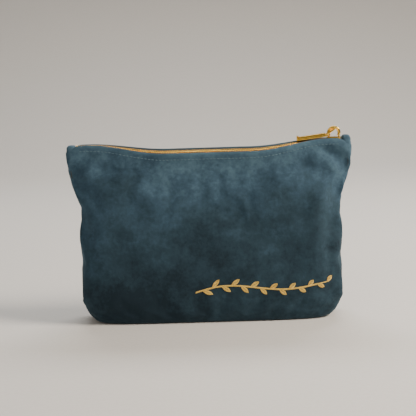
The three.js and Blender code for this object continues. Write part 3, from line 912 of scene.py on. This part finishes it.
def tooth():
    """A tooth of the back row: its head at y = -HEAD_REACH, its legs at y = TOOTH_REACH."""
    bm = bmesh.new()
    bmesh.ops.create_cube(bm, size=1)
    bmesh.ops.subdivide_edges(
        bm, edges=[e for e in bm.edges if abs(e.verts[0].co.y - e.verts[1].co.y) > 0.5], cuts=2,
        use_grid_fill=True,
    )
    for vert in bm.verts:
        head = vert.co.y < 0
        vert.co.x *= TOOTH_LENGTH * (HEAD_NARROWER if head else 1.0)
        lower = HEAD_LOWER if head else LEGS_LOWER
        vert.co.z *= TOOTH_HEIGHT * (lower if abs(vert.co.y) > 0.4 else 1.0)
        vert.co.y = (vert.co.y + 0.5) * (TOOTH_REACH + HEAD_REACH) - HEAD_REACH
    bmesh.ops.bevel(
        bm, geom=[e for e in bm.edges if e.calc_face_angle(0) > SHARP], offset=TOOTH_BEVEL,
        offset_type="OFFSET", segments=1, profile=0.5, affect="EDGES", material=-1,
    )
    return keep_mesh(bm, "tooth")


def teeth_row(side):
    """Front teeth stand half a pitch along from the back ones."""
    template = tooth()
    bm = bmesh.new()
    count = int((CHAIN_ENDS[1] - CHAIN_ENDS[0]) / TOOTH_PITCH)
    for step in range(count):
        x = CHAIN_ENDS[0] + (step + (0.25 if side > 0 else 0.75)) * TOOTH_PITCH
        lay(bm, template, lambda p, x=x: settle(Vector((x + p.x, p.y * side, ZIP_Z + p.z))))
    bpy.data.meshes.remove(template)
    if side < 0:
        bmesh.ops.reverse_faces(bm, faces=bm.faces[:])
    print(count, "teeth")
    return bm


for wall, side, _ in WALLS:
    part_in_halves(
        teeth_row(side), f"{wall}_teeth", tooth_brass, [f"{wall}_zip_teeth"]
    )

# %% [markdown]
# ## The end tabs
# The raw ends of a zip are hidden under a little folded tab of velvet, stitched down and stuffed by
# its own turnings into a soft knob. The right one stands a little proud of the zip.

# %% Velvet end tabs
KNOB_CURVE = 3.4       # 2 would be a ball and far more a box
FOLD_CREASE = 0.06     # how deep its fold's crease is, as a share of its size
CREASE_AT = 0.25       # how high the crease is, from -1 at the bottom to 1 at the top
CREASE_REACH = 0.12
LUMPS = 0.03
LUMPS_APART = 2.3
TOP_PINCH = 0.12
TOP_LEAN = 0.12        # how far the top leans outward, as a share of half its length


def end_tab(name, lean):
    """A cube rounded into a soft knob that fills its CAD box, with a crease where it is folded."""
    low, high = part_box(name)
    centre, half = (low + high) / 2, (high - low) / 2
    bm = bmesh.new()
    bmesh.ops.create_cube(bm, size=2)
    bmesh.ops.subdivide_edges(bm, edges=bm.edges[:], cuts=11, use_grid_fill=True)
    for vert in bm.verts:
        p = vert.co
        size = sum(abs(v) ** KNOB_CURVE for v in p) ** (1 / KNOB_CURVE)
        p = p / size
        crease = FOLD_CREASE * math.exp(-(((p.z - CREASE_AT) / CREASE_REACH) ** 2))
        swell = 1 - crease + LUMPS * noise.noise(p * LUMPS_APART)
        pinched = half.y * (1 - TOP_PINCH * p.z)
        vert.co = centre + Vector((p.x * half.x, p.y * pinched, p.z * half.z)) * swell
        vert.co.x -= lean * half.x * TOP_LEAN * max(p.z, 0) ** 2
    return bm


for name, lean in (("left_end_tab", -1), ("right_end_tab", 1)):
    finish_piece(end_tab(name, lean), f"{name}_velvet", "base", velvet, [name])

# %% [markdown]
# ## Slider, bail and pull
# These three are cast zinc, tumbled and plated. The slider's shape is exact in the CAD model, but
# cast edges are never sharp. So its CAD mesh is copied, the flat faces are joined up again, and every
# sharp edge gets a narrow round bevel that catches the light. The zip's stops are done the same way.

# %% Cast metal with rounded edges


def cast_from(node, name, body, edge, material):
    """A copy of a CAD node's mesh with its flat faces joined up again and its sharp edges rounded."""
    bm = bmesh.new()
    bm.from_mesh(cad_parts[node].data)
    bmesh.ops.remove_doubles(bm, verts=bm.verts, dist=0.002 * MM)
    bmesh.ops.dissolve_limit(
        bm, angle_limit=math.radians(2), verts=bm.verts, edges=bm.edges, use_dissolve_boundaries=False
    )
    bmesh.ops.recalc_face_normals(bm, faces=bm.faces)
    piece = finish_piece(bm, name, None, material, [node])
    bevel = piece.modifiers.new("tumbled edges", "BEVEL")
    bevel.width = edge
    bevel.segments = 3
    bevel.limit_method = "ANGLE"
    bevel.angle_limit = math.radians(32)
    bevel.harden_normals = True
    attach(piece, body)


cast_from("slider_body", "slider_cast", "slider", 0.22 * MM, polished_gold)
for stop in ("front_top_stop", "back_top_stop", "bottom_stop"):
    cast_from(stop, f"{stop}_cast", "base", 0.2 * MM, tooth_brass)

# %% The hoop that holds the pull
HOOP_STRAP = 2.5 * MM
HOOP_GROWN = 0.5 * MM     # how far it stands outside its CAD outline


def hoop():
    """A rounded strap spun round in the plane of the zip, both its feet in the slider's top plate."""
    centre = (bail_low + bail_high) / 2
    outer = (bail_high.x - bail_low.x) / 2 + HOOP_GROWN
    centre.z = bail_high.z + HOOP_GROWN - outer
    foot = math.asin((slider_high.z - 0.3 * MM - centre.z) / outer)
    to_foot = Vector((math.cos(foot), 0, math.sin(foot)))
    bm = bmesh.new()
    bmesh.ops.create_circle(bm, segments=12, radius=1)
    for vert in bm.verts:
        a, b = (math.copysign(abs(v) ** 0.6, v) for v in vert.co.xy)
        radius = outer - HOOP_STRAP / 2 * (1 - a)
        vert.co = centre + to_foot * radius + Vector((0, b * bail_high.y, 0))
    bmesh.ops.spin(
        bm, geom=bm.verts[:] + bm.edges[:], cent=centre, axis=(0, -1, 0), angle=math.pi - 2 * foot, steps=56
    )
    bmesh.ops.holes_fill(bm, edges=[edge for edge in bm.edges if edge.is_boundary])
    bmesh.ops.recalc_face_normals(bm, faces=bm.faces)
    return bm


finish_piece(hoop(), "slider_hoop", "slider", polished_gold, ["slider_bail"])

# %% [markdown]
# ## The pull
# The pull is one casting: a long plate with a crown along its top and a lip to grip at its free end,
# and a neck that rises into the hoop. The neck is a frame of two rails and a crossbar, because the
# hoop passes through it. Each of these is a bar with rounded edges, sunk a little into the next.

# %% A pull made of rounded bars
PLATE_LENGTH = 24.5 * MM
PLATE_THICKNESS = 1.3 * MM
CROWN_WIDTH = 5.4 * MM
CROWN_RISE = 1.8 * MM
LIP_LENGTH = 1.8 * MM
LIP_RISE = 2.5 * MM
LIP_SUNK = 1.9 * MM     # how much more of the lip is inside and under the plate
WINDOW_CLEARANCE = 0.5 * MM


def plate_top(along):
    """The top of the CAD pull that far from its free end, where its plate lies along the zip."""
    x = pull_low.x + along
    near = [v.co.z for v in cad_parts["pull_tab"].data.vertices if abs(v.co.x - x) < 1 * MM]
    return Vector((x, 0, max(near)))


def add_bar(bm, start, end, width, thickness, edge):
    """A bar from start to end, in the upright plane of the zip, with its edges rounded."""
    bar = bmesh.new()
    bmesh.ops.create_cube(bar, size=1)
    along = end - start
    turn = Matrix.Rotation(-math.atan2(along.z, along.x), 3, "Y")
    size = (along.length, width, thickness)
    for vert in bar.verts:
        vert.co = (start + end) / 2 + turn @ Vector([a * b for a, b in zip(vert.co, size)])
    bmesh.ops.bevel(
        bar, geom=bar.edges[:], offset=edge, offset_type="OFFSET", segments=4, profile=0.5, affect="EDGES",
        material=-1,
    )
    mesh = keep_mesh(bar, "bar")
    bm.from_mesh(mesh)
    bpy.data.meshes.remove(mesh)


def pull():
    """Plate, crown and lip first, then the neck's two rails and its crossbar through the hoop."""
    free_end, neck = plate_top(0), plate_top(PLATE_LENGTH)
    along, up = (neck - free_end).normalized(), Vector((0, 0, 1))
    plate_width = pull_high.y - pull_low.y
    middle = up * PLATE_THICKNESS / 2
    bm = bmesh.new()
    add_bar(bm, free_end - middle, neck - middle + along * MM, plate_width, PLATE_THICKNESS, 0.3 * MM)
    raised = up * (CROWN_RISE - PLATE_THICKNESS) / 2
    crown_start = free_end + along * LIP_LENGTH + raised
    crown_end = neck - along * 0.6 * MM + raised
    add_bar(bm, crown_start, crown_end, CROWN_WIDTH, CROWN_RISE + PLATE_THICKNESS, 0.45 * MM)
    lip = free_end + up * (LIP_RISE - PLATE_THICKNESS) / 2
    add_bar(bm, lip, lip + along * LIP_LENGTH, plate_width, LIP_RISE + LIP_SUNK, 0.6 * MM)
    window = bail_high.y + WINDOW_CLEARANCE
    rail = pull_high.y - window
    tip = Vector((pull_high.x - PLATE_THICKNESS / 2, 0, pull_high.z - PLATE_THICKNESS / 2))
    for sign in (-1, 1):
        aside = Vector((0, sign * (window + rail / 2), 0))
        add_bar(bm, neck - middle - along * MM + aside, tip + aside, rail, PLATE_THICKNESS, 0.3 * MM)
    add_bar(bm, tip - along * 0.65 * MM, tip + along * 0.65 * MM, plate_width, PLATE_THICKNESS, 0.4 * MM)
    print("the plate slopes", round(math.degrees(math.atan2(along.z, along.x)), 1), "degrees")
    return bm


finish_piece(pull(), "pull_cast", "pull", polished_gold, ["pull_tab"])

# %% [markdown]
# ## Stitches
# A row of lockstitches holds velvet, tape and lining together just below the zip. Each stitch is a
# short fat thread that dives into the pile at both ends, so one small bent capsule serves for all.

# %% A stitch


def stitch_mesh():
    """A thread of length 1 along x and radius 1 in y and z, its ends tapering and diving down."""
    bm = bmesh.new()
    bmesh.ops.create_uvsphere(bm, u_segments=6, v_segments=6, radius=1)
    for vert in bm.verts:
        along, y, z = vert.co.z, vert.co.x, vert.co.y
        round_here = math.hypot(y, z)
        fatter = min(1.25 * round_here, 1) / max(round_here, 1e-6)
        vert.co = Vector((along / 2, y * fatter, z * fatter - 1.1 * abs(along) ** 3))
    return keep_mesh(bm, "stitch")


def lay_thread(bm, template, start, end, up, radius):
    """Lays one thread from start to end, its top towards up."""
    along = end - start
    across = up.cross(along).normalized()
    top = along.cross(across).normalized()
    middle = (start + end) / 2
    lay(bm, template, lambda p: middle + along * p.x + across * (p.y * radius) + top * (p.z * radius))


thread = stitch_mesh()
print("one stitch has", len(thread.polygons), "faces")

# %% Topstitching along the mouth
STITCH_EVERY = 3.0 * MM
STITCH_LENGTH = 2.3 * MM
STITCH_RADIUS = 0.27 * MM
STITCH_DROP = 0.6 * MM     # how far below the wall's top edge the row runs


def topstitch(side):
    """One wall's row of stitches, each from point to point of the velvet just below the zip."""
    bm = bmesh.new()
    reach = ZIP_END - 3 * MM
    count = int(2 * reach / STITCH_EVERY)
    for step in range(count):
        x = -reach + (step + 0.5) * STITCH_EVERY
        ends = []
        for end_x in (x - STITCH_LENGTH / 2, x + STITCH_LENGTH / 2):
            edge = settle(Vector((end_x, side * face_depth(end_x, EDGE_Z, side), EDGE_Z)))
            point, normal = on_skin(end_x, edge.z - STITCH_DROP, side)
            ends.append(point + normal * STITCH_RADIUS * 0.4)
        lay_thread(bm, thread, ends[0], ends[1], normal, STITCH_RADIUS)
    print(count, "stitches")
    return bm


for wall, side, _ in WALLS:
    part_in_halves(
        topstitch(side), f"{wall}_stitches", petrol_thread, [f"{wall}_topstitch"]
    )

# %% [markdown]
# ## The embroidered sprig
# Satin stitch fills a shape with threads laid side by side across it, packed so close that they
# read as one glossy pad. A leaf is two banks of such threads that slant out from its middle vein,
# and a stem is a cord of short slanting ones. Real rayon is about 0.25 mm thick; these threads are
# 0.36 mm, so that they can still be told apart.

# %% A leaf sprig in gold satin stitch
MOTIF_START = Vector((-14, 27)) * MM
MOTIF_LENGTH = 111 * MM
MOTIF_RISE = 10 * MM
MOTIF_STROKE = 1.5 * MM
LEAVES = 14
LEAF_LENGTH = 9 * MM
LEAF_WIDTH = 3.6 * MM
LEAF_ANGLE = math.radians(38)
LEAF_SHRINK = 0.35     # how much smaller the last leaf is, as a share of a leaf's length
THREAD_SLANT = 0.55    # how far a leaf's threads slant towards its tip
STEM_LIFT = 0.35 * MM
LEAF_LIFT = 0.3 * MM
GOLD_RADIUS = 0.18 * MM
THREAD_STEP = 0.3 * MM


def stem_at(t):
    """A point (x, z) of the stem, which rises and falls in one slow wave."""
    rise = 0.5 * t + 0.42 * math.sin(2.1 * math.pi * t) * (1 - 0.5 * t)
    return MOTIF_START + Vector((MOTIF_LENGTH * t, MOTIF_RISE * rise))


def sew(bm, start, end, lift):
    """One gold thread between two (x, z) points of the front wall."""
    a, normal_a = on_skin(start.x, start.y, -1)
    b, normal_b = on_skin(end.x, end.y, -1)
    lay_thread(bm, thread, a + normal_a * lift, b + normal_b * lift, normal_a + normal_b, GOLD_RADIUS)


def sew_stem(bm):
    """Slanting threads across the whole length of the stem, which thins out at its tip."""
    steps = int(MOTIF_LENGTH / THREAD_STEP)
    for step in range(steps):
        t = step / steps
        here, ahead = stem_at(t), stem_at(t + 0.01)
        along = (ahead - here).normalized()
        across = Vector((-along.y, along.x)) * MOTIF_STROKE / 2 * min(1, 6 * (1 - t) + 0.35)
        sew(bm, here - across - along * 0.5 * MM, here + across + along * 0.5 * MM, STEM_LIFT)


def sew_leaf(bm, root, direction, length, width):
    """Two banks of threads slanting from the vein to a rim shaped like a pointed oval."""
    side = Vector((-direction.y, direction.x))
    steps = int(length / THREAD_STEP)
    for bank in (-1, 1):
        for step in range(steps):
            t = (step + 0.5) / steps
            rim = width / 2 * math.sin(math.pi * t**0.8) ** 0.85
            vein = root + direction * length * t
            sew(bm, vein, vein + side * bank * rim + direction * rim * THREAD_SLANT, LEAF_LIFT)


def gold_sprig():
    """The stem, and its leaves left and right of it in turn."""
    bm = bmesh.new()
    sew_stem(bm)
    for leaf in range(LEAVES):
        t = (leaf + 0.7) / LEAVES
        along = (stem_at(t + 0.01) - stem_at(t)).normalized()
        angle = math.atan2(along.y, along.x) + LEAF_ANGLE * (1 if leaf % 2 else -1)
        size = LEAF_LENGTH * (1.05 - LEAF_SHRINK * t)
        sew_leaf(bm, stem_at(t), Vector((math.cos(angle), math.sin(angle))), size, LEAF_WIDTH)
    return bm


part_in_halves(gold_sprig(), "gold_sprig", gold_thread, ["embroidered_sprig"])
bpy.data.meshes.remove(thread)

# %% [markdown]
# ## Floor, light and camera
# A pale floor that curves up behind, a warm soft light from the right, a weak broad one from the
# front left and one from behind stand in for a studio. The camera stands straight in front, a little
# above, and leans a little, as a hand-held one does.

# %% Pale studio
FLOOR_HALF = 3
CURVE_FROM = 1.0       # the floor starts to climb this far behind the pouch
FLOOR_GAP = 0.0002     # just enough below the pouch that the two don't flicker
WORLD_STRENGTH = 0.26


def studio_floor():
    """Seamless paper: flat under the pouch, and climbing behind it without a corner."""
    bm = bmesh.new()
    bmesh.ops.create_grid(bm, x_segments=2, y_segments=40, size=FLOOR_HALF)
    for vert in bm.verts:
        climb = max(vert.co.y - CURVE_FROM, 0)
        vert.co.z = min(climb**2 * 0.8, 3.2) - FLOOR_GAP
    mesh = keep_mesh(bm, "floor")
    mesh.shade_smooth()
    material, shader = new_material("pale_studio_paper", Roughness=0.9, Specular_IOR_Level=0.2)
    place = add_node(material, "ShaderNodeTexCoord").outputs["Object"]
    fibre = add_node(material, "ShaderNodeTexNoise", Vector=place, Scale=per(3), Detail=3.0).outputs["Fac"]
    paper = add_node(
        material, "ShaderNodeValToRGB", Fac=fibre, stops=[(0.2, "#e3dfd9"), (0.8, "#e9e6e1")]
    )
    link(material, paper.outputs["Color"], shader.inputs["Base Color"])
    mesh.materials.append(material)
    floor = bpy.data.objects.new("floor", mesh)
    bpy.context.collection.objects.link(floor)
    floor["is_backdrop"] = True


def soft_light(name, where, size, watts, colour):
    """A soft box that faces the pouch."""
    light = bpy.data.lights.new(name, "AREA")
    light.shape = "RECTANGLE"
    light.size, light.size_y = size
    light.energy = watts
    light.color = linear(colour)[:3]
    lamp = bpy.data.objects.new(name, light)
    lamp.location = where
    lamp.rotation_euler = (Vector((0, 0, 0.08)) - Vector(where)).to_track_quat("-Z", "Y").to_euler()
    bpy.context.collection.objects.link(lamp)


studio_floor()
soft_light("key", (1.05, -0.32, 0.85), (0.4, 0.4), 23, "#fff3e4")
soft_light("fill", (-0.7, -1.3, 0.9), (0.9, 0.9), 3.6, "#fff6ec")
soft_light("rim", (0.1, 0.8, 1.2), (1.2, 0.4), 13, "#ffffff")
world = bpy.data.worlds.new("studio")
bpy.context.scene.world = world
world.use_nodes = True
world.node_tree.nodes["Background"].inputs["Color"].default_value = linear("#f2eee8")
world.node_tree.nodes["Background"].inputs["Strength"].default_value = WORLD_STRENGTH
print("studio: a floor and", len(bpy.data.lights), "lights")

# %% Camera
CAMERA_AIM = Vector((-0.002, 0, 0.093))
CAMERA_AWAY = 0.8
CAMERA_RISE = math.radians(9)
CAMERA_ROLL = math.radians(-1.7)
CAMERA_LENS = 82    # in millimetres, for a sensor 36 mm wide

camera_data = bpy.data.cameras.new("camera")
camera_data.lens = CAMERA_LENS
camera = bpy.data.objects.new("camera", camera_data)
bpy.context.collection.objects.link(camera)
away = Vector((0, -math.cos(CAMERA_RISE), math.sin(CAMERA_RISE))) * CAMERA_AWAY
camera.location = CAMERA_AIM + away
look = (-away).to_track_quat("-Z", "Y").to_matrix() @ Matrix.Rotation(CAMERA_ROLL, 3, "Z")
camera.rotation_euler = look.to_euler()
bpy.context.scene.camera = camera
print("the camera is", CAMERA_AWAY, "m away")

# %% Size of the visual model beside the CAD model
visual_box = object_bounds()
for low_high, cad, visual in zip(("lowest", "highest"), cad_box, visual_box):
    print(low_high, [round(v / MM, 1) for v in cad], "->", [round(v / MM, 1) for v in visual])
